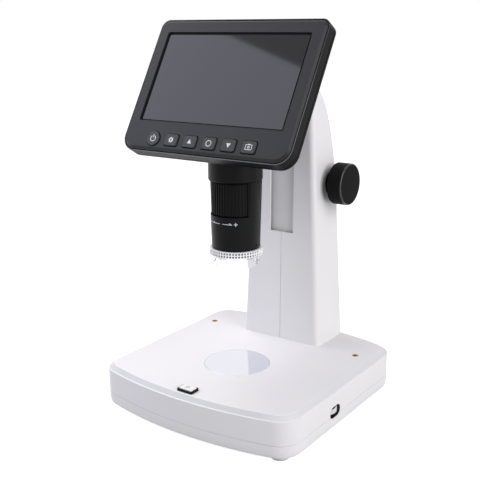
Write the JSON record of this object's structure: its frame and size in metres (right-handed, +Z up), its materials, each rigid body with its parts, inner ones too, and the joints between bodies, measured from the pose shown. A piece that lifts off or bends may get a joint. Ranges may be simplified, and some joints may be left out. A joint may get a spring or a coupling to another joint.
{
  "type": "lcd digital microscope",
  "caption": "Desktop digital microscope with a lit base, a column with a rack and pinion slide, and a head that carries the optical tube and a tilted LCD monitor.",
  "frame": {"origin": "middle of the base, on the table that the feet stand on", "axes": "+X to the right as seen from the front, +Y from front to back, +Z up"},
  "size_m": [0.155, 0.1624, 0.2652],
  "materials": {
    "white_shell": "fine satin, moulded",
    "foot_rubber": "matt, pale",
    "steel": "plated",
    "dark_steel": "blackened",
    "opal_disc": "glossy opal diffuser",
    "circuit_board": "solder mask",
    "brass": "turned",
    "black_trim": "satin",
    "silver_cap": "satin white",
    "dimmer_plastic": "satin",
    "aluminium": "milled",
    "cover_plastic": "satin",
    "knob_black": "satin",
    "head_black": "fine texture",
    "tube_black": "satin",
    "wheel_rubber": "ribbed, satin",
    "lens_glass": "coated lens",
    "clear_plastic": "clear moulded acrylic",
    "bezel_black": "fine texture",
    "screen_glass": "glossy",
    "panel_dark": "dark panel",
    "battery_wrap": "foil wrap",
    "key_black": "satin"
  },
  "bodies": {
    "stand": {"base_top_shell": "white_shell", "base_bottom_shell": "white_shell", "rubber_feet": "foot_rubber", "base_screws": "steel", "stage_disc": "opal_disc", "stage_light_board": "circuit_board", "clip_inserts": "brass", "light_button_frame": "black_trim", "light_switch": "black_trim", "base_circuit_board": "circuit_board", "dimmer_potentiometer": "black_trim", "power_socket": "black_trim", "column_left_shell": "white_shell", "column_right_shell": "white_shell", "column_screws": "steel", "foot_bracket": "steel", "bracket_screws": "steel", "guide_rail": "aluminium", "shaft_bushes": "brass"},
    "head": {"carriage": "aluminium", "focus_rack": "steel", "slot_cover": "cover_plastic", "head_arm": "aluminium", "arm_screws": "steel", "head_left_shell": "head_black", "head_right_shell": "head_black", "head_screws": "steel", "tube_collar": "tube_black", "tube_barrel": "tube_black", "sensor_board": "circuit_board", "nose_light_board": "circuit_board", "nose_ring": "clear_plastic", "nose_hood": "clear_plastic", "barrel_screws": "dark_steel", "monitor_bezel": "bezel_black", "monitor_rear_shell": "head_black", "screen_window": "screen_glass", "lcd_panel": "panel_dark", "main_board": "circuit_board", "battery": "battery_wrap", "key_board": "circuit_board", "monitor_screws": "steel"},
    "focus_knobs": {"pinion_shaft": "steel", "pinion_gear": "brass", "friction_washers": "steel", "retaining_rings": "dark_steel", "left_knob": "knob_black", "right_knob": "knob_black", "knob_set_screws": "steel"},
    "zoom_wheel": {"magnification_wheel": "wheel_rubber"},
    "lens_carrier": {"lens_cell": "black_trim", "objective_lenses": "lens_glass"},
    "light_switch_button": {"light_button": "silver_cap"},
    "dimmer": {"dimmer_wheel": "dimmer_plastic"},
    "power_button": {"power_key": "key_black"},
    "menu_button": {"menu_key": "key_black"},
    "up_button": {"up_key": "key_black"},
    "select_button": {"select_key": "key_black"},
    "down_button": {"down_key": "key_black"},
    "capture_button": {"capture_key": "key_black"}
  },
  "joints": [
    {"name": "focus_slide", "type": "slide", "parent": "stand", "child": "head", "axis": [0, 0, 1], "range_m": [-0.045, 0.005]},
    {"name": "focus_knob_turn", "type": "hinge", "parent": "stand", "child": "focus_knobs", "pos_m": [0, 0.0627, 0.1511], "axis": [1, 0, 0], "range_deg": [-46, 410]},
    {"name": "magnification_turn", "type": "hinge", "parent": "head", "child": "zoom_wheel", "pos_m": [0, -0.0164, 0.1515], "axis": [0, 0, 1], "range_deg": [-120, 120]},
    {"name": "lens_slide", "type": "slide", "parent": "head", "child": "lens_carrier", "axis": [0, 0, 1], "range_m": [-0.0058, 0.0058]},
    {"name": "dimmer_turn", "type": "hinge", "parent": "stand", "child": "dimmer", "pos_m": [0.0683, -0.0153, 0.0173], "axis": [0, 0, 1], "range_deg": [-135, 135]},
    {"name": "light_button_press", "type": "slide", "parent": "stand", "child": "light_switch_button", "axis": [0, 0, -1], "range_m": [0, 0.0006], "stiffness_N_per_m": 400, "springref_m": -0.001},
    {"name": "power_key_press", "type": "slide", "parent": "head", "child": "power_button", "axis": [0, 0.8599, -0.5105], "range_m": [0, 0.0005], "stiffness_N_per_m": 400, "springref_m": -0.001},
    {"name": "menu_key_press", "type": "slide", "parent": "head", "child": "menu_button", "axis": [0, 0.8599, -0.5105], "range_m": [0, 0.0005], "stiffness_N_per_m": 400, "springref_m": -0.001},
    {"name": "up_key_press", "type": "slide", "parent": "head", "child": "up_button", "axis": [0, 0.8599, -0.5105], "range_m": [0, 0.0005], "stiffness_N_per_m": 400, "springref_m": -0.001},
    {"name": "select_key_press", "type": "slide", "parent": "head", "child": "select_button", "axis": [0, 0.8599, -0.5105], "range_m": [0, 0.0005], "stiffness_N_per_m": 400, "springref_m": -0.001},
    {"name": "down_key_press", "type": "slide", "parent": "head", "child": "down_button", "axis": [0, 0.8599, -0.5105], "range_m": [0, 0.0005], "stiffness_N_per_m": 400, "springref_m": -0.001},
    {"name": "capture_key_press", "type": "slide", "parent": "head", "child": "capture_button", "axis": [0, 0.8599, -0.5105], "range_m": [0, 0.0005], "stiffness_N_per_m": 400, "springref_m": -0.001}
  ],
  "couplings": [
    {"joint": "focus_knob_turn", "follows": "focus_slide", "rad_per_m": -158.73},
    {"joint": "magnification_turn", "follows": "lens_slide", "rad_per_m": 357.14}
  ]
}
